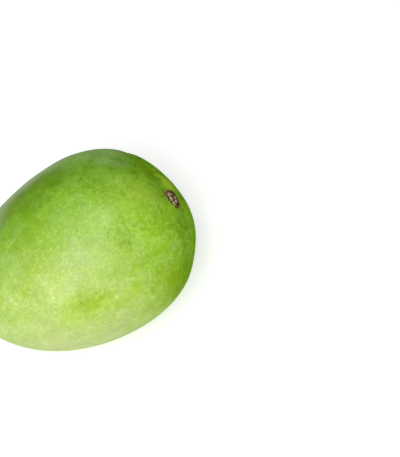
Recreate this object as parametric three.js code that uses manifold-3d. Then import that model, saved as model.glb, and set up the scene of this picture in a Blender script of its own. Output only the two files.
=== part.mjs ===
// A green mango lying on its cheek, with the stem end lifted a little.
// Millimetres. +X runs towards the stem end, +Z is up, and the origin is the
// middle of the small flat spot that the fruit rests on.

import * as THREE from 'three';
import { mergeVertices } from 'three/addons/utils/BufferGeometryUtils.js';
import Module from 'manifold-3d';

const degrees = Math.PI / 180;

// The body is a stretched sphere that is blunter and fuller at the stem end.
const halfLength = 52.2;
const halfWidth = 41.8;
const halfThickness = 40.1;
const stemEndBluntness = 0.133; // drawn in at the stem end and out at the apex, per half length
const stemEndFullness = 0.011; // girth gained at the stem end and lost at the apex
const lift = 12 * degrees; // the long axis above the level
const restDepth = 0.8; // pressed flat where the fruit lies

// Two slow waves over the unit sphere keep the skin from being a perfect egg.
const slowWaves = [
  { height: 0.34, direction: new THREE.Vector3(-4.0, -5.9, -2.0), phase: -2.0 },
  { height: 0.27, direction: new THREE.Vector3(-2.9, -2.1, -5.5), phase: 2.6 },
];

// The stem scar sits off the end of the long axis, on the upper side.
const scarOffAxis = 30.5 * degrees;
const scarTurn = 117 * degrees; // round the long axis, from +Y towards +Z
const scarHalfAcross = 4.3;
const scarHalfNear = 3.2; // flatter towards the top of the fruit
const scarHalfFar = 4.8;
const scarRaggedness = 0.15;
const scarPitDepth = 0.7;
const scarRimHeight = 0.25;
const scarRimWidth = 0.14; // as a share of the scar's radius
const plugHeight = 0.8; // woody stub of the stalk, up from the pit's floor
const plugSize = 0.42; // as a share of the scar's radius

// A shallow basin holds the scar.
const basinDepth = 0.9;
const basinHalfAcross = 12;
const basinHalfAlong = 7;
const basinOffset = 1; // past the scar, away from the top of the fruit

// A furrow starts beside the scar and runs back over the shoulder along a curve
// that bends away. Its near wall is flat and wide, its far wall short and steep.
const furrowDepth = 1.3;
const furrowFarWidth = 1.2;
const furrowNearWidth = 8;
const furrowFlare = 1.4; // near wall gained per mm away from the scar
const furrowStart = 8.5; // mm across from the scar
const furrowFull = 13;
const furrowRun = 24;
const furrowFade = 8;
const furrowBend = 0.0155; // how fast the furrow curves away, per mm
const furrowOffset = 1.9;

const reliefReach = 14; // how far under the scar's plane its relief still counts

// The beak is a low swelling beside the apex, with the stylar point on it.
const beakOffAxis = 14 * degrees;
const beakHeight = 1.3;
const beakHalfWidth = 7.5;

// Skin mesh: a fine ball whose points are drawn together round the scar.
const ballDetail = 20;
const drawInNear = 0.3;
const drawInRound = 0.225;

const bell = (distance, halfWidthOfBell) => Math.exp(-0.5 * (distance / halfWidthOfBell) ** 2);

// Unit-sphere point at an angle off the stem end's axis, turned round that axis.
function onBall(offAxis, turn) {
  const radius = Math.sin(offAxis);
  return new THREE.Vector3(Math.cos(offAxis), radius * Math.cos(turn), radius * Math.sin(turn));
}

// Plain body: unit-sphere point to millimetres, long axis still level.
function bodyPoint(ball) {
  const girth = 1 + stemEndFullness * ball.x;
  return new THREE.Vector3(
    halfLength * (ball.x - stemEndBluntness * ball.x ** 2),
    halfWidth * girth * ball.y,
    halfThickness * girth * ball.z,
  );
}

// Outward direction of the plain body at a unit-sphere point.
function bodyNormal(ball) {
  const girth = 1 + stemEndFullness * ball.x;
  const y = ball.y / (halfWidth * girth);
  const z = ball.z / (halfThickness * girth);
  const taper = stemEndFullness * (halfWidth * ball.y * y + halfThickness * ball.z * z);
  const x = (ball.x - taper) / (halfLength * (1 - 2 * stemEndBluntness * ball.x));
  return new THREE.Vector3(x, y, z).normalize();
}

// A spot on the skin with its own directions: out of the skin, across the
// fruit, and along it, away from the top.
function spotOn(ball) {
  const out = bodyNormal(ball);
  const across = new THREE.Vector3(1, 0, 0).cross(out).normalize();
  const along = out.clone().cross(across);
  return { at: bodyPoint(ball), out, across, along };
}

const scarBall = onBall(scarOffAxis, scarTurn);
const scar = spotOn(scarBall);
const beak = spotOn(onBall(Math.PI - beakOffAxis, -Math.PI / 2));

// Ragged rim, sunken floor and woody plug, as a height over the skin.
function scarHeight(across, along) {
  const sideways = across / scarHalfAcross;
  const lengthways = along / (along < 0 ? scarHalfNear : scarHalfFar);
  const turn = Math.atan2(lengthways, sideways);
  const lopsided = Math.sin(turn + 2.6) + 0.9 * Math.sin(2 * turn + 2.8);
  const ragged = lopsided + 0.7 * Math.sin(3 * turn - 1.6);
  const radius = Math.hypot(sideways, lengthways) * (1 + scarRaggedness * ragged);
  const floor = -scarPitDepth / (1 + Math.exp(12 * (radius - 0.9)));
  const rim = scarRimHeight * bell(radius - 1.05, scarRimWidth);
  return floor + rim + plugHeight * bell(radius, plugSize);
}

// Depth of the furrow as a share of its full depth.
function furrowShare(across, along) {
  const away = -across;
  const aside = along - furrowOffset - furrowBend * across ** 2;
  const wide = (away - furrowStart) * furrowFlare;
  const nearWidth = THREE.MathUtils.clamp(wide, furrowFarWidth, furrowNearWidth);
  const nearWall = THREE.MathUtils.clamp(1 + aside / nearWidth, 0, 1);
  const section = aside < 0 ? nearWall : bell(aside, furrowFarWidth);
  const start = THREE.MathUtils.smoothstep(away, furrowStart, furrowFull);
  return section * start * bell(Math.max(away - furrowRun, 0), furrowFade);
}

// Everything that shapes the stem end, as a height over the plain body.
function stemEndHeight(point) {
  const reach = point.clone().sub(scar.at);
  const across = reach.dot(scar.across);
  const along = reach.dot(scar.along);
  const fade = bell(reach.dot(scar.out), reliefReach);
  const basin = -basinDepth * bell(across, basinHalfAcross) * bell(along - basinOffset, basinHalfAlong);
  const furrow = -furrowDepth * furrowShare(across, along);
  return fade * (basin + furrow + scarHeight(across, along));
}

function waveHeight(ball) {
  return slowWaves.reduce(
    (sum, wave) => sum + wave.height * Math.sin(wave.direction.dot(ball) + wave.phase),
    0,
  );
}

function skinPoint(ball) {
  const point = bodyPoint(ball);
  const beakPart = beakHeight * bell(point.distanceTo(beak.at), beakHalfWidth);
  return point.clone()
    .addScaledVector(bodyNormal(ball), waveHeight(ball))
    .addScaledVector(scar.out, stemEndHeight(point))
    .addScaledVector(beak.out, beakPart);
}

// Turns a point about Y so that the stem end rises.
function lifted(point) {
  return point.applyAxisAngle(new THREE.Vector3(0, 1, 0), -lift);
}

// Lowest point of the lifted fruit, found by stepping over the middle of its underside.
function lowestPoint() {
  const steps = 120;
  const underside = -Math.PI / 2;
  let lowest = new THREE.Vector3();
  for (let i = 0; i <= steps; i += 1) {
    for (let j = 0; j <= steps; j += 1) {
      const offAxis = Math.PI * (0.35 + 0.3 * (i / steps));
      const turn = underside + 0.3 * (j / steps - 0.5);
      const point = lifted(skinPoint(onBall(offAxis, turn)));
      if (point.z < lowest.z) lowest = point;
    }
  }
  return lowest;
}

// Slides a unit-sphere point along its great circle towards the scar.
function drawnToScar(ball) {
  const angle = ball.angleTo(scarBall);
  const newAngle = angle - drawInNear * Math.sin(angle) - drawInRound * Math.sin(2 * angle);
  const sideways = ball.clone().addScaledVector(scarBall, -Math.cos(angle));
  if (sideways.length() < 1e-6) return ball;
  return sideways.setLength(Math.sin(newAngle)).addScaledVector(scarBall, Math.cos(newAngle));
}

function merged(geometry) {
  geometry.deleteAttribute('normal');
  geometry.deleteAttribute('uv');
  return mergeVertices(geometry, 1e-5);
}

// Whole fruit before its rest spot is flattened, as one closed skin.
function roundSkin() {
  const geometry = new THREE.IcosahedronGeometry(1, ballDetail);
  const corner = new THREE.Vector3(-1, (1 + Math.sqrt(5)) / 2, 0).normalize();
  geometry.applyQuaternion(new THREE.Quaternion().setFromUnitVectors(corner, scarBall));
  const skin = merged(geometry);
  const lowest = lowestPoint();
  const positions = skin.getAttribute('position');
  const ball = new THREE.Vector3();
  for (let i = 0; i < positions.count; i += 1) {
    ball.fromBufferAttribute(positions, i).normalize();
    const point = lifted(skinPoint(drawnToScar(ball))).sub(lowest);
    positions.setXYZ(i, point.x, point.y, point.z - restDepth);
  }
  return skin;
}

function toSolid(wasm, geometry) {
  return new wasm.Manifold(new wasm.Mesh({
    numProp: 3,
    vertProperties: new Float32Array(geometry.getAttribute('position').array),
    triVerts: new Uint32Array(geometry.index.array),
  }));
}

function toGeometry(solid) {
  const cut = solid.getMesh();
  const geometry = new THREE.BufferGeometry();
  geometry.setAttribute('position', new THREE.BufferAttribute(cut.vertProperties, 3));
  geometry.setIndex(new THREE.BufferAttribute(cut.triVerts, 1));
  geometry.computeVertexNormals();
  return geometry;
}

// The fruit with everything below the resting plane taken off.
function fruitGeometry(wasm) {
  const depth = 10;
  const under = new THREE.BoxGeometry(3 * halfWidth, 3 * halfWidth, depth);
  under.translate(0, 0, -depth / 2);
  const flattened = toSolid(wasm, roundSkin()).subtract(toSolid(wasm, merged(under)));
  return toGeometry(flattened);
}

const wasm = await Module();
wasm.setup();

const skinMaterial = new THREE.MeshStandardMaterial({ color: 0x93c44b, roughness: 0.45, metalness: 0 });
const fruit = new THREE.Mesh(fruitGeometry(wasm), skinMaterial);
fruit.name = 'mango';

const mango = new THREE.Group();
mango.add(fruit);

export default mango;
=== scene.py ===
# Green mango on a white table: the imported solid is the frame, a fine skin is
# worked out over it, and the skin gets its colour, lenticels, wax and stem scar.
import math

import bpy
import numpy as np
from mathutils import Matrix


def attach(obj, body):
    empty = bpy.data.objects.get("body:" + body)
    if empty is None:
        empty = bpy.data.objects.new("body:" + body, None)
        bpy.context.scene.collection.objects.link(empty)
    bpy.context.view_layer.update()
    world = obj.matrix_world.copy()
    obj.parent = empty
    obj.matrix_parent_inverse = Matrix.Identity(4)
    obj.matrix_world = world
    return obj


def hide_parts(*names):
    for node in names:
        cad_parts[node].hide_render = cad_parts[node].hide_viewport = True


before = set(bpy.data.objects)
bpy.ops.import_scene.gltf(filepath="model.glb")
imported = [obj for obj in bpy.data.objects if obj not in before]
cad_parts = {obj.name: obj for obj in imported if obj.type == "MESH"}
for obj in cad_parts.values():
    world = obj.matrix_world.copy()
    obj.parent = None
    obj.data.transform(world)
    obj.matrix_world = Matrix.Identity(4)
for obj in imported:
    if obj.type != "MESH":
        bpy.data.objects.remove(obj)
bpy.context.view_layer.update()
print("frame loaded, solids:", len(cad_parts))

degree = math.pi / 180
mmPerMetre = 1000.0


# an object that looks at a target from a distance, out along (sin a cos e, -cos a cos e, sin e),
# with both angles in degrees and the rest in metres
def lookingAt(name, data, target, azimuth, elevation, distance):
    a, e = azimuth * degree, elevation * degree
    away = np.array([math.sin(a) * math.cos(e), -math.cos(a) * math.cos(e), math.sin(e)])
    looker = bpy.data.objects.new(name, data)
    looker.location = np.array(target) + distance * away
    looker.rotation_euler = (math.pi / 2 - e, 0.0, a)
    bpy.context.collection.objects.link(looker)
    return looker


lookout = {
    "target": (0.05227, -0.01460, 0.03968),  # a little past the fruit's stem end
    "azimuth": -30.1,    # 0 looks along +Y
    "elevation": 60.0,
    "distance": 0.70,
    "lens": 123.5,       # mm on a 36 mm frame
    "farthest": 20.0,    # metres, as the target and the distance
}


def placeCamera():
    data = bpy.data.cameras.new("lookout")
    data.lens = lookout["lens"]
    data.clip_end = lookout["farthest"]
    place = (lookout[key] for key in ("target", "azimuth", "elevation", "distance"))
    bpy.context.scene.camera = lookingAt("lookout", data, *place)


placeCamera()
print("camera placed")


# one output socket; arithmetic on it adds Math nodes beside it
class Wire:
    def __init__(self, finish, socket):
        self.finish = finish
        self.socket = socket

    def math(self, operation, first, second):
        return self.finish.node("ShaderNodeMath", {"operation": operation}, [first, second])

    def __add__(self, other):
        return self.math("ADD", self, other)

    def __radd__(self, other):
        return self.math("ADD", other, self)

    def __sub__(self, other):
        return self.math("SUBTRACT", self, other)

    def __rsub__(self, other):
        return self.math("SUBTRACT", other, self)

    def __mul__(self, other):
        return self.math("MULTIPLY", self, other)

    def __rmul__(self, other):
        return self.math("MULTIPLY", other, self)


# a node material that is put together one node at a time
class Finish:
    def __init__(self, name):
        self.material = bpy.data.materials.new(name)
        self.material.use_nodes = True
        self.tree = self.material.node_tree
        self.tree.nodes.clear()
        self.place = self.node("ShaderNodeTexCoord", output="Object")

    # kind of node, its settings, then the values or wires of its sockets
    def node(self, kind, settings=None, values=None, output=0):
        made = self.tree.nodes.new(kind)
        for key, value in (settings or {}).items():
            if key == "stops":
                self.fillRamp(made.color_ramp, value)
            else:
                setattr(made, key, value)
        pairs = values.items() if isinstance(values, dict) else enumerate(values or [])
        for key, value in pairs:
            if isinstance(value, Wire):
                self.tree.links.new(value.socket, made.inputs[key])
            elif value is not None:
                made.inputs[key].default_value = value
        return Wire(self, made.outputs[output])

    def fillRamp(self, ramp, stops):
        while len(ramp.elements) < len(stops):
            ramp.elements.new(0.5)  # anywhere, as each is put in its place below
        for element, (position, colour) in zip(ramp.elements, stops):
            element.position = position
            element.color = (*colour, 1.0)

    # smooth step of a value between two limits
    def rise(self, value, low, high):
        return self.node("ShaderNodeMapRange", {"interpolation_type": "SMOOTHSTEP"},
                         {"Value": value, "From Min": low, "From Max": high})

    # from the first value to the second as the share goes from 0 to 1
    def between(self, share, first, second):
        return first + share * (second - first)

    # colours along a value from 0 to 1
    def ramp(self, value, stops):
        return self.node("ShaderNodeValToRGB", {"stops": stops}, [value])

    # the second colour laid over the first; a Mix node's colours are its sockets 6 and 7, and output 2
    def blend(self, factor, first, second, mode="MIX"):
        settings = {"data_type": "RGBA", "blend_type": mode}
        under, over = (value if isinstance(value, Wire) else (*value, 1.0) for value in (first, second))
        return self.node("ShaderNodeMix", settings, {0: factor, 6: under, 7: over}, output=2)

    # soft noise with blotches of the given size in millimetres, 0 to 1
    def blotches(self, size, detail=2.0, roughness=0.5):
        values = {"Vector": self.place, "Scale": mmPerMetre / size,
                  "Detail": detail, "Roughness": roughness}
        return self.node("ShaderNodeTexNoise", {}, values, output="Fac")

    # one scattered point in each cell of the given size in millimetres: the distance to
    # the nearest one, as a share of that size, or the random colour of its cell
    def scatter(self, size, output="Distance"):
        values = {"Vector": self.place, "Scale": mmPerMetre / size}
        return self.node("ShaderNodeTexVoronoi", {"feature": "F1"}, values, output=output)

    # a value that the mesh carries on its points
    def attribute(self, name):
        return self.node("ShaderNodeAttribute", {"attribute_name": name}, output="Fac")

    def vectors(self, operation, first, second, output="Value"):
        return self.node("ShaderNodeVectorMath", {"operation": operation}, [first, second], output=output)

    # how far the surface lies to one side of the fruit's middle, in millimetres: the offset
    # from the middle times the side's direction
    def towards(self, side):
        offset = self.vectors("SUBTRACT", self.place, tuple(middle), output="Vector")
        return self.vectors("DOT_PRODUCT", offset, tuple(unit(np.array(side)) * mmPerMetre))

    # distance from a point, both in millimetres
    def distance(self, point):
        return self.vectors("DISTANCE", self.place, tuple(np.array(point) / mmPerMetre)) * mmPerMetre

    # 1 at a point and 0 away from it, falling between two shares of the radius; what is
    # added to the distance breaks the spot's edge
    def spot(self, point, radius, shares, wander=None):
        reach = self.distance(point)
        if wander is not None:
            reach = reach + wander
        return 1 - self.rise(reach, shares[0] * radius, shares[1] * radius)

    # the shader, with what its sockets get
    def surface(self, values):
        shader = self.node("ShaderNodeBsdfPrincipled", {}, values)
        target = self.tree.nodes.new("ShaderNodeOutputMaterial")
        self.tree.links.new(shader.socket, target.inputs["Surface"])
        return self.material


# colour as a screen shows it, 0 to 255, to the linear light that the shader takes: the screen's
# usual curve, straight near black and a power of 2.4 above
def paint(red, green, blue):
    screen = np.array([red, green, blue]) / 255.0
    linear = np.where(screen <= 0.04045, screen / 12.92, ((screen + 0.055) / 1.055) ** 2.4)
    return tuple(float(value) for value in linear)


fruitShape = {
    "halfLength": 52.2,          # millimetres, as the solid's
    "halfWidth": 41.8,
    "halfThickness": 40.1,
    "stemEndBluntness": 0.133,
    "stemEndFullness": 0.011,
    "lift": 12 * degree,
    "restDepth": 0.8,
    "slowWaves": [(0.34, (-4.0, -5.9, -2.0), -2.0), (0.27, (-2.9, -2.1, -5.5), 2.6)],
}

stemEnd = {
    "offAxis": 30.5 * degree,
    "turn": 117.0 * degree,
    "halfAcross": 4.3,
    "halfNear": 3.2,
    "halfFar": 4.8,
    "raggedness": 0.15,
    "raggedWaves": [(1, 1.0, 2.6), (2, 0.9, 2.8), (3, 0.7, -1.6)],  # waves round the rim, height, phase
    "pitDepth": 0.7,
    "pitEdge": 0.9,      # in scar radii
    "pitSteepness": 12,  # per scar radius
    "rimHeight": 0.25,
    "rimAt": 1.05,       # in scar radii, as the rim's width and the plug's size
    "rimWidth": 0.14,
    "plugHeight": 0.8,
    "plugSize": 0.42,
    "basinDepth": 0.9,
    "basinHalfAcross": 12,
    "basinHalfAlong": 7,
    "basinOffset": 1.0,
    "furrowDepth": 1.3,
    "furrowFarWidth": 1.2,
    "furrowNearWidth": 8,
    "furrowFlare": 1.4,
    "furrowStart": 8.5,
    "furrowFull": 13,
    "furrowRun": 24,
    "furrowFade": 8,
    "furrowBend": 0.0155,
    "furrowOffset": 1.9,
    "reach": 14,
    "marksEnd": (-40, -25),  # mm from the scar's plane: nothing is painted on the fruit's far side
    "farRadius": 10,         # scar radii added there, out of the paint's reach
}

# grain of the torn wood: lattice spacing and height in mm, where it fades in scar radii, seed
woodGrain = {"spacing": 0.8, "height": 0.28, "full": 0.75, "fade": 0.15, "seed": 3}

# the paint on the furrow's near wall
furrowShade = {
    "spread": 2.2,       # mm of paint past the wall
    "edge": 1.6,         # mm over which it sets in there
    "valleyEdge": 0.4,   # mm to each side of the furrow's line, over which it ends
    "fades": (22, 31),   # mm from the scar
    "mottle": 2.0,       # blotch size in mm
    "mottleShare": (0.6, 1.4),
    "colour": (0.190, 0.330, 0.012),
    "strength": 0.65,
}

# the low swelling beside the apex
beak = {"offAxis": 14 * degree, "height": 1.3, "halfWidth": 7.5}

# slight unevenness of the whole skin: lattice spacing and height in mm, seed
unevenness = {"spacing": 9.0, "height": 0.1, "seed": 5}

skinGrid = {
    "rings": 200,
    "segments": 440,
    "tightness": 0.13,  # spacing of the first rings as a share of the even spacing
    "growth": 2.2,      # power with which the spacing grows
}


# e to the power of minus half the squared share of the half width
def bell(distance, halfWidth):
    return np.exp(-0.5 * (distance / halfWidth) ** 2)


# 3 t^2 - 2 t^3, which leaves 0 and reaches 1 gently
def smooth(part):
    return part * part * (3 - 2 * part)


# 0 to 1 between two distances, eased at both ends
def eased(distance, start, end):
    return smooth(np.clip((distance - start) / (end - start), 0, 1))


# vectors divided by their lengths
def unit(vectors):
    return vectors / np.linalg.norm(vectors, axis=-1, keepdims=True)


# unit-sphere point at an angle off the stem end's axis, turned round that axis
def ballPoint(offAxis, turn):
    return np.stack([np.cos(offAxis), np.sin(offAxis) * np.cos(turn), np.sin(offAxis) * np.sin(turn)], -1)


# x = length * (x - bluntness x^2); y and z are stretched and grow with x
def bodyPoint(ball):
    s = fruitShape
    girth = 1 + s["stemEndFullness"] * ball[..., 0]
    return np.stack([s["halfLength"] * (ball[..., 0] - s["stemEndBluntness"] * ball[..., 0] ** 2),
                     s["halfWidth"] * girth * ball[..., 1],
                     s["halfThickness"] * girth * ball[..., 2]], -1)


# the sphere's normal carried over by the inverse of that stretch, made one long
def bodyNormal(ball):
    s = fruitShape
    girth = 1 + s["stemEndFullness"] * ball[..., 0]
    y = ball[..., 1] / (s["halfWidth"] * girth)
    z = ball[..., 2] / (s["halfThickness"] * girth)
    grown = s["halfWidth"] * ball[..., 1] * y + s["halfThickness"] * ball[..., 2] * z
    taper = s["stemEndFullness"] * grown
    x = (ball[..., 0] - taper) / (s["halfLength"] * (1 - 2 * s["stemEndBluntness"] * ball[..., 0]))
    return unit(np.stack([x, y, z], -1))


# a spot on the skin with its own directions: out, across the fruit, and along it
def spotOn(offAxis, turn):
    ball = ballPoint(offAxis, turn)
    out = bodyNormal(ball)
    across = unit(np.cross([1.0, 0.0, 0.0], out))
    along = np.cross(out, across)
    return {"ball": ball, "at": bodyPoint(ball), "out": out, "across": across, "along": along}


scarSpot = spotOn(stemEnd["offAxis"], stemEnd["turn"])
beakSpot = spotOn(math.pi - beak["offAxis"], -math.pi / 2)


# random heights on a lattice of the given spacing, blended smoothly between its corners
def latticeNoise(points, spacing, height, seed):
    repeat = 32  # lattice steps before it comes round again
    values = np.random.default_rng(seed).uniform(-1, 1, (repeat, repeat, repeat))
    cell = np.floor(points / spacing).astype(int)
    part = smooth(points / spacing - cell)
    total = np.zeros(points.shape[:-1])
    for corner in range(8):
        step = np.array([corner & 1, corner >> 1 & 1, corner >> 2 & 1])
        weight = np.prod(np.where(step == 1, part, 1 - part), axis=-1)
        i, j, k = np.moveaxis((cell + step) % repeat, -1, 0)
        total += weight * values[i, j, k]
    return height * total


# radius over the ragged rim of the scar, which is flatter on its near side: 1 on the rim
def scarRadius(across, along):
    s = stemEnd
    x = across / s["halfAcross"]
    y = along / np.where(along < 0, s["halfNear"], s["halfFar"])
    turn = np.arctan2(y, x)
    ragged = sum(height * np.sin(count * turn + phase) for count, height, phase in s["raggedWaves"])
    return np.hypot(x, y) * (1 + s["raggedness"] * ragged)


# sunken floor, depth / (1 + e^(steepness * (radius - edge))), + raised rim + woody plug
def scarHeight(radius):
    s = stemEnd
    floor = -s["pitDepth"] / (1 + np.exp(s["pitSteepness"] * (radius - s["pitEdge"])))
    rim = s["rimHeight"] * bell(radius - s["rimAt"], s["rimWidth"])
    return floor + rim + s["plugHeight"] * bell(radius, s["plugSize"])


# beside a parabola that bends away from the scar: a flat near wall that widens with the
# distance from the scar, and a steep far wall; depth share, and share of paint on the near wall
def furrowParts(across, along):
    s = stemEnd
    away = -across
    aside = along - s["furrowOffset"] - s["furrowBend"] * across ** 2
    wide = (away - s["furrowStart"]) * s["furrowFlare"]
    width = np.clip(wide, s["furrowFarWidth"], s["furrowNearWidth"])
    end = bell(np.maximum(away - s["furrowRun"], 0), s["furrowFade"])
    run = eased(away, s["furrowStart"], s["furrowFull"]) * end
    section = np.where(aside < 0, np.clip(1 + aside / width, 0, 1), bell(aside, s["furrowFarWidth"]))
    start, edge = -width - furrowShade["spread"], furrowShade["valleyEdge"]
    wall = eased(aside, start, start + furrowShade["edge"]) * (1 - eased(aside, -edge, edge))
    return run * section, run * wall * (1 - eased(away, *furrowShade["fades"]))


# (basin + furrow + scar + grain of its wood) fading with depth under the scar's plane
def stemEndHeight(points):
    s = stemEnd
    reach = points - scarSpot["at"]
    across, along, depth = (reach @ scarSpot[key] for key in ("across", "along", "out"))
    hollow = bell(across, s["basinHalfAcross"]) * bell(along - s["basinOffset"], s["basinHalfAlong"])
    valley, wall = furrowParts(across, along)
    radius = scarRadius(across, along)
    g = woodGrain
    woody = bell(np.maximum(radius - g["full"], 0), g["fade"])
    grain = woody * latticeNoise(points, g["spacing"], g["height"], g["seed"])
    height = scarHeight(radius) + grain - s["basinDepth"] * hollow - s["furrowDepth"] * valley
    painted = eased(depth, *s["marksEnd"])
    marks = {"scarRadius": radius + s["farRadius"] * (1 - painted), "furrowShade": wall * painted}
    return bell(depth, s["reach"]) * height, marks


# body + slow waves along its normal + stem end relief + beak
def skinPoint(ball):
    points = bodyPoint(ball)
    waves = sum(height * np.sin(ball @ np.array(direction) + phase)
                for height, direction, phase in fruitShape["slowWaves"])
    relief, marks = stemEndHeight(points)
    swelling = beak["height"] * bell(np.linalg.norm(points - beakSpot["at"], axis=-1), beak["halfWidth"])
    raised = points + bodyNormal(ball) * waves[..., None]
    raised = raised + scarSpot["out"] * relief[..., None] + beakSpot["out"] * swelling[..., None]
    return raised, marks


# turn about Y so that the stem end rises
def lifted(points):
    c, s = math.cos(fruitShape["lift"]), math.sin(fruitShape["lift"])
    return points @ np.array([[c, 0, -s], [0, 1, 0], [s, 0, c]]).T


# the part of the ball that holds the lowest point, in radians, and how finely it is searched
underside = {
    "offAxis": (0.35 * math.pi, 0.65 * math.pi),
    "turn": (-math.pi / 2 - 0.15, -math.pi / 2 + 0.15),
    "steps": 121,
}


# lowest point of the lifted fruit, found on a fine grid over its underside
def lowestPoint():
    spans = [np.linspace(*underside[key], underside["steps"]) for key in ("offAxis", "turn")]
    offAxis, turn = np.meshgrid(*spans, indexing="ij")
    points = lifted(skinPoint(ballPoint(offAxis, turn))[0]).reshape(-1, 3)
    return points[points[:, 2].argmin()]


toRest = -lowestPoint() - np.array([0, 0, fruitShape["restDepth"]])


# fruit millimetres to the frame's metres
def toFrame(points):
    return (lifted(points) + toRest) / mmPerMetre


middle = toFrame(np.zeros((1, 3)))[0]


# rings round the scar, close together there: angle = pi (k t + (1 - k) t^growth)
def ringBalls():
    g = skinGrid
    t = np.arange(1, g["rings"]) / g["rings"]
    angle = math.pi * (g["tightness"] * t + (1 - g["tightness"]) * t ** g["growth"])
    turn = np.linspace(0, 2 * math.pi, g["segments"], endpoint=False)
    pole = scarSpot["ball"]
    side = unit(np.cross([1.0, 0.0, 0.0], pole))
    other = np.cross(pole, side)
    ring = np.cos(turn)[:, None] * side + np.sin(turn)[:, None] * other
    balls = np.cos(angle)[:, None, None] * pole + np.sin(angle)[:, None, None] * ring[None]
    return np.concatenate([pole[None], balls.reshape(-1, 3), -pole[None]])


# quads between neighbouring rings, and a fan of triangles at each end
def ringFaces():
    rings, segments = skinGrid["rings"] - 1, skinGrid["segments"]
    first = np.arange(segments)
    following = (first + 1) % segments
    start = 1 + segments * np.arange(rings - 1)[:, None]
    nextStart = start + segments
    quads = np.stack([start + first, nextStart + first, nextStart + following, start + following], -1)
    last = 1 + segments * (rings - 1)
    top = np.stack([np.zeros(segments, int), 1 + first, 1 + following], -1)
    bottom = np.stack([np.full(segments, last + segments), last + following, last + first], -1)
    return top.tolist() + quads.reshape(-1, 4).tolist() + bottom.tolist()


# the shape above over the whole grid, a little uneven, with its marks as attributes
def makeSkin():
    balls = ringBalls()
    points, marks = skinPoint(balls)
    uneven = latticeNoise(points, unevenness["spacing"], unevenness["height"], unevenness["seed"])
    points = toFrame(points + bodyNormal(balls) * uneven[:, None])
    points[:, 2] = np.maximum(points[:, 2], 0.0)  # pressed flat where it lies
    mesh = bpy.data.meshes.new("mangoSkin")
    mesh.from_pydata(points, [], ringFaces())
    mesh.polygons.foreach_set("use_smooth", np.ones(len(mesh.polygons), bool))
    for name, values in marks.items():
        mesh.attributes.new(name, "FLOAT", "POINT").data.foreach_set("value", values.astype(np.float32))
    mesh.update()
    skin = bpy.data.objects.new("mangoSkin", mesh)
    bpy.context.collection.objects.link(skin)
    return skin


skinLook = {
    "warmSide": (-0.42, -0.76, 0.40),  # the side that ripened in the light
    "greens": [  # millimetres towards the warm side, colour
        (-40, (0.140, 0.325, 0.006)),
        (2, (0.165, 0.352, 0.010)),
        (14, (0.198, 0.390, 0.018)),
        (24, (0.216, 0.388, 0.030)),
        (32, (0.248, 0.398, 0.052)),
        (42, (0.305, 0.415, 0.092)),
    ],
    "drift": [(18.0, 6.0), (7.0, 7.0), (3.2, 7.0)],  # blotch size and how far each pushes the greens, mm
    "detail": 2.5,
    "shade": [(9.0, 0.14), (2.8, 0.14), (1.1, 0.16)],  # blotch size in mm, depth of shade
    "roughness": 0.60,
    "gloss": 0.0,  # specular level under the wax
    "grain": {"size": 1.2, "strength": 0.25, "height": 0.0002},  # blotches in mm, height in metres
}

lenticels = {
    "spacing": 2.1,        # mm
    "radius": (0.00, 0.42),  # of the spacing: solid inside the first, gone at the second
    "colour": (0.075, 0.090, 0.045),  # added to the green
    "strength": 0.85,
    "missing": (0.15, 0.60),  # of a cell's random colour: none below, full above
    "warmth": (0, 28),       # mm towards the warm side, where they get their full strength
    "coolSide": 0.4,         # share of it on the other side
    "faintAt": (-0.9, -20.8, 75.2),
    "faintReach": (8.0, 40.0),
    "faintest": 0.55,
    "fullest": 1.30,
}

freckles = {
    "spacing": 11.0,
    "radius": (0.020, 0.042),
    "colour": (0.060, 0.120, 0.012),
    "strength": 0.75,
    "missing": (0.45, 0.55),  # as the lenticels'
}

# single dark pin pricks in the freckles' colour: at, radius
pricks = [
    ((-15.0, -31.1, 60.1), 0.45),
    ((6.5, -11.3, 79.2), 0.40),
    ((4.3, -19.0, 76.2), 0.30),
    ((-4.2, -23.8, 71.8), 0.30),
    ((-37.7, -24.8, 42.0), 0.45),
    ((22.7, -23.1, 72.5), 0.30),
]
prickFade = (0.4, 1.2)  # shares of the radius

# veils over the green: mixing mode, blotch size, where they set in and are full, colour, strength
veils = [
    ("MULTIPLY", 12.0, (0.46, 0.66), (0.98, 1.0, 0.30), 0.60),
    ("ADD", 9.0, (0.48, 0.70), (0.020, 0.016, 0.035), 1.00),
    ("ADD", 1.3, (0.44, 0.66), (0.060, 0.062, 0.028), 1.00),
    ("MIX", 4.0, (0.45, 0.75), (0.150, 0.370, 0.018), 0.22),
    ("MIX", 2.4, (0.45, 0.75), (0.340, 0.470, 0.010), 0.22),
]
veilWarmth = (-10.0, 20.0)  # mm towards the warm side, over which they all set in

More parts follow.
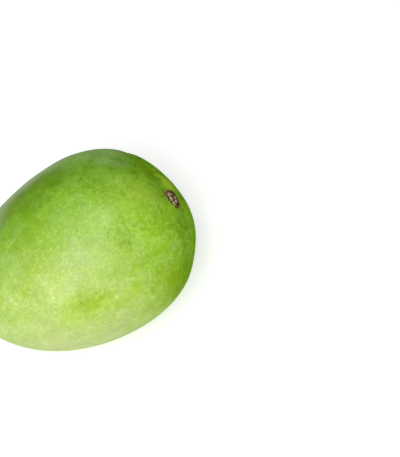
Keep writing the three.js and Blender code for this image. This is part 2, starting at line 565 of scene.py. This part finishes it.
# larger marks, each with its colour, some of them painted shade, shadow, light or highlight as noted: at,
# radius, colour, strength; in the frame's millimetres
patches = [
    ((-20.9, 25.2, 62.1), 33.0, (0.100, 0.230, 0.000), 0.62),  # painted shade: the far shoulder, turned from the light, in a deeper green
    ((-0.5, 21.6, 75.1), 11.0, (0.090, 0.215, 0.000), 0.50),
    ((-11.9, 14.2, 75.2), 9.0, (0.090, 0.225, 0.000), 0.50),
    ((-17.3, 4.0, 74.5), 8.0, (0.170, 0.330, 0.004), 0.60),
    ((-23.9, 20.7, 64.7), 7.0, (0.110, 0.180, 0.004), 0.45),  # painted shade: an olive band along the back rim
    ((-14.9, 23.7, 68.2), 7.0, (0.110, 0.185, 0.004), 0.45),
    ((-5.9, 24.7, 71.7), 7.0, (0.105, 0.185, 0.004), 0.40),
    ((18.1, 25.7, 72.7), 7.0, (0.220, 0.430, 0.055), 0.60),  # paler shoulder before the furrow
    ((28.1, 22.2, 71.2), 7.0, (0.220, 0.430, 0.055), 0.70),
    ((22.8, 17.0, 76.0), 6.0, (0.300, 0.500, 0.150), 0.40),
    ((16.6, 8.7, 78.7), 7.0, (0.235, 0.470, 0.040), 0.50),
    ((28.1, 12.0, 75.4), 5.0, (0.190, 0.310, 0.080), 0.60),
    ((35.1, 21.2, 66.7), 6.0, (0.220, 0.280, 0.010), 0.70),
    ((43.9, -0.4, 64.0), 7.5, (0.380, 0.600, 0.025), 0.85),  # painted light: the basin's far wall beside the scar, lit, in a brighter yellow-green (this and the next)
    ((47.1, -10.8, 57.1), 6.5, (0.280, 0.490, 0.000), 0.45),
    ((25.1, -6.8, 78.2), 16.0, (0.330, 0.510, 0.050), 0.60),  # yellower top
    # painted highlight: a pale whitish patch where the sheen lies
    ((9.1, -8.8, 80.2), 9.0, (0.330, 0.520, 0.100), 0.60),
    ((-7.3, 1.6, 78.4), 7.0, (0.270, 0.460, 0.080), 0.40),
    # painted highlight: two more pale patches of the sheen
    ((3.5, -25.6, 72.3), 9.0, (0.330, 0.500, 0.100), 0.50),
    ((-5.9, -20.3, 73.3), 7.0, (0.330, 0.480, 0.160), 0.40),
    ((24.7, -13.3, 76.7), 6.0, (0.210, 0.400, 0.015), 0.50),
    ((24.6, -25.0, 69.6), 11.0, (0.290, 0.485, 0.020), 0.45),
    ((37.1, -14.5, 68.5), 8.0, (0.270, 0.480, 0.020), 0.55),
    ((26.6, -37.3, 49.6), 19.0, (0.170, 0.310, 0.000), 0.70),  # painted shadow of a neighbouring fruit: deeper green under the stem end (this and the next)
    ((35.1, -34.8, 42.1), 17.0, (0.095, 0.220, 0.000), 0.60),
    ((-35.9, -3.1, 62.0), 9.0, (0.290, 0.440, 0.100), 0.50),  # towards the apex
    ((-38.6, -22.0, 46.6), 10.0, (0.230, 0.390, 0.020), 0.40),
    ((-18.0, -34.3, 50.8), 15.0, (0.275, 0.430, 0.006), 0.60),  # yellower low on the warm side
    ((-21.4, -31.8, 53.1), 9.0, (0.255, 0.430, 0.010), 0.50),
    ((-18.2, -25.1, 64.4), 6.0, (0.380, 0.490, 0.160), 0.45),  # the olive patch, with pale skin beside it
    ((-12.0, -32.6, 59.8), 6.5, (0.185, 0.325, 0.000), 0.75),
    ((-6.2, -35.2, 57.8), 8.0, (0.240, 0.370, 0.002), 0.60),
    ((4.4, -37.3, 57.0), 9.0, (0.235, 0.395, 0.005), 0.55),
]

# how the larger marks' edges break: blotch size in mm, detail, and in shares of the radius
# how far the edge strays and where it fades
patchEdge = {"size": 5.0, "detail": 3.0, "wander": 1.3, "fade": (0.1, 1.1)}

# darker flecks that crowd in places: at, where they thin out and end in mm; size and span of each kind
flecks = {
    "places": [((35.1, -0.8, 68.2), (18.0, 46.0)), ((-10.9, -33.8, 58.1), (4.0, 15.0))],
    "kinds": [(1.6, (0.51, 0.64)), (3.6, (0.50, 0.66))],
    "tone": (0.66, 0.76, 0.40),
    "strength": 0.85,
    "between": 1.06,  # the green between them
}

# small dark smudges near the stem end: at, radius; all in one colour
smudges = {
    "places": [
        ((29.4, 14.8, 74.0), 1.0), ((29.8, 13.6, 74.2), 1.0), ((32.9, 11.5, 72.9), 1.1),
        ((33.9, 10.3, 72.5), 1.3), ((29.7, 5.3, 76.1), 1.4), ((31.0, 4.2, 75.5), 1.0),
        ((24.7, 2.0, 78.6), 1.5), ((15.3, 1.7, 80.7), 1.0), ((39.3, -18.1, 63.4), 1.4),
        ((40.0, -20.3, 60.9), 1.8), ((37.4, -23.0, 62.1), 1.1), ((38.8, -24.1, 59.0), 2.0),
        ((38.0, -27.2, 55.9), 1.8), ((41.8, 3.0, 66.4), 1.7), ((44.7, -12.8, 60.4), 1.3),
    ],
    "size": 1.6,     # of the blotches that break their edges, mm
    "wander": 3.0,   # shares of the radius, as the fade
    "fade": (0.1, 1.2),
    "colour": (0.080, 0.170, 0.006),
    "strength": 0.55,
}

# the pale belly, partly its own paler green and partly a painted reflection of the white table below:
# direction it faces, where it sets in and is full in mm, colour, strength
bellyAndTableReflection = {
    "side": (-0.32, -0.80, -0.48),
    "span": (18.0, 46.0),
    "colour": (0.350, 0.395, 0.175),
    "strength": 0.60,
}

# a brown blush on the shaded side, partly its own colour and partly a painted dark reflection along the
# back rim:
# direction it faces, span and how far its edge strays in mm, colour, strength
blushAndRimReflection = {
    "side": (-0.10, 0.97, 0.10),
    "span": (26.0, 40.0),
    "wander": 6.0,
    "colour": (0.160, 0.215, 0.030),
    "strength": 0.55,
}

# the wax over the skin, and where it is thinner and thicker: side, span in mm towards it, weight
wax = {
    "roughness": 0.40,
    "ior": 1.9,
    "weight": 0.30,
    "thin": {"side": (0.80, -0.45, 0.15), "span": (6.0, 29.0), "weight": 0.02},
    "thick": {"side": (-0.45, 0.88, 0.10), "span": (24.0, 36.0), "weight": 0.65},
    "dullPlaces": [  # at, radius, share of the wax gone
        ((-4.9, 22.2, 73.7), 12.0, 0.70),
        ((-16.9, 20.2, 68.7), 11.0, 0.70),
        ((-10.9, -32.8, 60.1), 10.0, 0.60),
    ],
    "dullFade": (0.4, 1.2),  # shares of the radius
}

scarLook = {
    "wood": [
        (0.36, paint(56, 42, 20)),
        (0.46, paint(96, 80, 44)),
        (0.54, paint(138, 124, 76)),
        (0.62, paint(214, 196, 168)),
    ],
    "crumbs": {"size": 1.4, "roughness": 0.6},  # of the wood: blotch size in mm
    "rim": paint(60, 42, 20),
    "rimSpan": (0.76, 0.94),  # in scar radii, as the other spans
    "rimGaps": {"size": 2.6, "span": (0.42, 0.58), "strengths": (0.15, 0.90)},
    "edgeSpan": (0.98, 1.15),
    "core": paint(214, 194, 172),  # the stub's pale heart
    "coreSpan": (0.05, 0.42),
    "coreStrength": 0.60,
    "halo": paint(122, 104, 40),  # the skin dried round the rim
    "haloSpan": (1.00, 1.40),
    "haloStrength": 0.60,
    "torn": 0.60,  # how far the torn edge strays, in scar radii
    "tornSize": 1.5,  # blotch size in mm
}


# greens that run from one side of the fruit to the other, pushed about by blotches
def driftingGreen(f):
    detail = skinLook["detail"]
    low, high = skinLook["greens"][0][0], skinLook["greens"][-1][0]
    sun = f.towards(skinLook["warmSide"])
    for size, push in skinLook["drift"]:
        sun = sun + (f.blotches(size, detail) - 0.5) * (2 * push)
    stops = [((place - low) / (high - low), colour) for place, colour in skinLook["greens"]]
    green = f.ramp((sun - low) * (1 / (high - low)), stops)
    warmth = f.rise(sun, *veilWarmth)
    for mode, size, span, tone, strength in veils:
        green = f.blend(f.rise(f.blotches(size, detail), *span) * warmth * strength, green, tone, mode)
    return fleckedGreen(f, green)


# darker flecks inside their places, and a slightly lighter green between them
def fleckedGreen(f, green):
    clear = 1.0
    for at, reach in flecks["places"]:
        clear = clear * f.rise(f.distance(at), *reach)
    green = f.blend(1.0, green, 1 + (1 - clear) * (flecks["between"] - 1), "MULTIPLY")
    for size, span in flecks["kinds"]:
        fleck = f.rise(f.blotches(size, skinLook["detail"]), *span) * (1 - clear) * flecks["strength"]
        green = f.blend(fleck, green, flecks["tone"], "MULTIPLY")
    return green


# patches (some painted shade, shadow, light and highlight) and smudges with broken edges, the pale belly
# with its painted table reflection, the blush with its painted rim reflection, and the painted shade on
# the furrow's wall
def patchedGreen(f, colour):
    wander = f.blotches(patchEdge["size"], patchEdge["detail"]) - 0.5
    for at, radius, tone, strength in patches:
        patch = f.spot(at, radius, patchEdge["fade"], wander * (patchEdge["wander"] * radius))
        colour = f.blend(patch * strength, colour, tone)
    clear = 1.0
    broken = f.blotches(smudges["size"]) - 0.5
    for at, radius in smudges["places"]:
        clear = clear * (1 - f.spot(at, radius, smudges["fade"], broken * (smudges["wander"] * radius)))
    colour = f.blend((1 - clear) * smudges["strength"], colour, smudges["colour"])
    # painted reflection of the white table, laid as a pale belly
    below = f.rise(f.towards(bellyAndTableReflection["side"]), *bellyAndTableReflection["span"])
    colour = f.blend(below * bellyAndTableReflection["strength"], colour, bellyAndTableReflection["colour"])
    # painted dark reflection along the back rim, laid over a brown blush
    behind = f.rise(f.towards(blushAndRimReflection["side"]) + wander * blushAndRimReflection["wander"], *blushAndRimReflection["span"])
    colour = f.blend(behind * blushAndRimReflection["strength"], colour, blushAndRimReflection["colour"])
    mottle = f.between(f.blotches(furrowShade["mottle"]), *furrowShade["mottleShare"])
    crease = f.attribute("furrowShade") * mottle
    return f.blend(crease * furrowShade["strength"], colour, furrowShade["colour"])


# finer light and dark over all the greens
def shadedGreen(f, colour):
    shade = 1.0
    for size, depth in skinLook["shade"]:
        shade = shade + (f.blotches(size) - 0.5) * (2 * depth)
    return f.blend(1.0, colour, shade, "MULTIPLY")


# scattered dots: a cell's random colour leaves some of them out
def dots(f, look):
    dot = 1 - f.rise(f.scatter(look["spacing"]), *look["radius"])
    kept = f.rise(f.scatter(look["spacing"], output="Color"), *look["missing"])
    return dot * kept * look["strength"]


# pale lenticels, strongest on the warm side and away from one faint place; freckles and pricks
def speckledGreen(f, colour):
    warmth = f.rise(f.towards(skinLook["warmSide"]), *lenticels["warmth"])
    far = f.rise(f.distance(lenticels["faintAt"]), *lenticels["faintReach"])
    strongest = f.between(far, lenticels["faintest"], lenticels["fullest"])
    weight = f.between(warmth, lenticels["coolSide"], 1.0) * strongest
    colour = f.blend(dots(f, lenticels) * weight, colour, lenticels["colour"], "ADD")
    colour = f.blend(dots(f, freckles), colour, freckles["colour"])
    for at, radius in pricks:
        colour = f.blend(f.spot(at, radius, prickFade), colour, freckles["colour"])
    return colour


# crumbs of torn wood and a pale core inside a broken dark rim
def woodyScar(f, radius):
    crumbs, gaps = scarLook["crumbs"], scarLook["rimGaps"]
    wood = f.ramp(f.blotches(crumbs["size"], roughness=crumbs["roughness"]), scarLook["wood"])
    core = (1 - f.rise(radius, *scarLook["coreSpan"])) * scarLook["coreStrength"]
    wood = f.blend(core, wood, scarLook["core"])
    broken = f.between(f.rise(f.blotches(gaps["size"], 1.0), *gaps["span"]), *gaps["strengths"])
    return f.blend(f.rise(radius, *scarLook["rimSpan"]) * broken, wood, scarLook["rim"])


# the weight of wax: its own, then towards each side that side's, less in the dull places, and
# none on the furrow's painted wall or on the scar
def waxWeight(f, scar):
    waxed = wax["weight"]
    for side in (wax["thin"], wax["thick"]):
        waxed = f.between(f.rise(f.towards(side["side"]), *side["span"]), waxed, side["weight"])
    for at, radius, gone in wax["dullPlaces"]:
        waxed = waxed * (1 - f.spot(at, radius, wax["dullFade"]) * gone)
    return waxed * (1 - f.attribute("furrowShade")) * (1 - scar)


# all of these together, with the scar and the dried skin round it over the greens
def waxyGreenSkin():
    f = Finish("waxyGreenSkin")
    colour = speckledGreen(f, shadedGreen(f, patchedGreen(f, driftingGreen(f))))
    torn = (f.blotches(scarLook["tornSize"]) - 0.5) * scarLook["torn"]
    radius = f.attribute("scarRadius") + torn
    dried = (1 - f.rise(radius, *scarLook["haloSpan"])) * scarLook["haloStrength"]
    colour = f.blend(dried, colour, scarLook["halo"])
    scar = 1 - f.rise(radius, *scarLook["edgeSpan"])
    colour = f.blend(scar, colour, woodyScar(f, radius))
    grain = skinLook["grain"]
    bump = f.node("ShaderNodeBump", {}, {"Strength": grain["strength"], "Distance": grain["height"],
                                         "Height": f.blotches(grain["size"])})
    return f.surface({"Base Color": colour, "Roughness": skinLook["roughness"], "Normal": bump,
                      "Specular IOR Level": skinLook["gloss"], "Coat Weight": waxWeight(f, scar),
                      "Coat Roughness": wax["roughness"], "Coat IOR": wax["ior"]})


skin = makeSkin()
skin.data.materials.append(waxyGreenSkin())
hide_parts("mango")
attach(skin, "root")
print("skin made")


studio = {
    "tableSize": 8.0,  # metres, as the lamps'
    "tableColour": (0.90, 0.90, 0.90),
    "tableRoughness": 0.9,
    "glow": [(400, 0.30), (2500, 1.00)],  # mm from the middle, brightness: it stays white far off
    "surround": (1.0, 1.0, 1.0),
    "surroundStrength": 0.25,   # as a lamp
    "backdropStrength": 1.0,    # as it is seen
    "lampSize": 1.6,
    "lampDistance": 2.0,
    "lampTarget": (0, 0, 0.04),  # the fruit's middle
}

# softboxes: azimuth and elevation in degrees, power in watts
lamps = {
    "lowSoftbox": (-38.0, 28.0, 22.0),
    "highSoftbox": (-50.0, 63.0, 37.0),
}


# a square of matte white that glows a little, more so far off
def whiteTable():
    half = studio["tableSize"] / 2
    mesh = bpy.data.meshes.new("table")
    corners = [(-half, -half, 0), (half, -half, 0), (half, half, 0), (-half, half, 0)]
    mesh.from_pydata(corners, [], [(0, 1, 2, 3)])
    table = bpy.data.objects.new("table", mesh)
    bpy.context.collection.objects.link(table)
    f = Finish("matteWhite")
    (near, dim), (far, bright) = studio["glow"]
    glow = f.blend(f.rise(f.distance((0, 0, 0)), near, far), (dim,) * 3, (bright,) * 3)
    mesh.materials.append(f.surface({"Base Color": (*studio["tableColour"], 1.0),
                                     "Roughness": studio["tableRoughness"],
                                     "Emission Color": glow, "Emission Strength": 1.0}))


# a square softbox that faces the fruit's middle
def softbox(name, azimuth, elevation, power):
    data = bpy.data.lights.new(name, "AREA")
    data.size = studio["lampSize"]
    data.energy = power
    lookingAt(name, data, studio["lampTarget"], azimuth, elevation, studio["lampDistance"])


# a white surround that is seen bright but lights the fruit only a little
def paleSurround():
    world = bpy.data.worlds.new("paleSurround")
    world.use_nodes = True
    tree = world.node_tree
    light = tree.nodes["Background"]
    light.inputs["Color"].default_value = (*studio["surround"], 1.0)
    path = tree.nodes.new("ShaderNodeLightPath")
    strength = tree.nodes.new("ShaderNodeMapRange")
    strength.inputs["To Min"].default_value = studio["surroundStrength"]
    strength.inputs["To Max"].default_value = studio["backdropStrength"]
    tree.links.new(path.outputs["Is Camera Ray"], strength.inputs["Value"])
    tree.links.new(strength.outputs["Result"], light.inputs["Strength"])
    bpy.context.scene.world = world


whiteTable()
for name, settings in lamps.items():
    softbox(name, *settings)
paleSurround()
bpy.context.scene.view_settings.view_transform = "Standard"
print("table and lights set")
